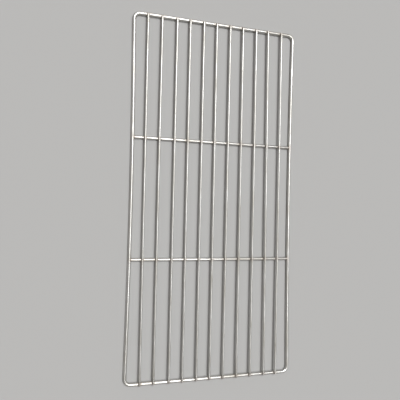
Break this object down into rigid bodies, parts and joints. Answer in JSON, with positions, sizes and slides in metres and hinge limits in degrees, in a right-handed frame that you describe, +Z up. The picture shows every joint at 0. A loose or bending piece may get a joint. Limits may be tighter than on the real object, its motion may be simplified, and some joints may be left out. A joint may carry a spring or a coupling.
{
  "type": "wire rack shelf",
  "caption": "Flat rectangular steel wire rack with a bent round-cornered frame, cross wires and lengthwise rods, a loose shelf for a heated food display.",
  "frame": {"origin": "under the middle of the rack, on the surface that the frame rests on", "axes": "+X to the right across the rack, +Y along the rods to the back, +Z up"},
  "size_m": [0.3046, 0.63, 0.0094],
  "materials": {
    "frame_steel": "bright drawn wire, lightly rubbed where it slides",
    "cross_steel": "bright drawn wire with faint heat tint at the welds",
    "rod_steel": "bright drawn wire with fine lengthwise draw lines and faint heat tint at the welds"
  },
  "bodies": {
    "root": {"perimeter_frame": "frame_steel", "cross_wire_back": "cross_steel", "cross_wire_front": "cross_steel", "rod_01": "rod_steel", "rod_02": "rod_steel", "rod_03": "rod_steel", "rod_04": "rod_steel", "rod_05": "rod_steel", "rod_06": "rod_steel", "rod_07": "rod_steel", "rod_08": "rod_steel", "rod_09": "rod_steel", "rod_10": "rod_steel", "rod_11": "rod_steel"}
  },
  "joints": []
}
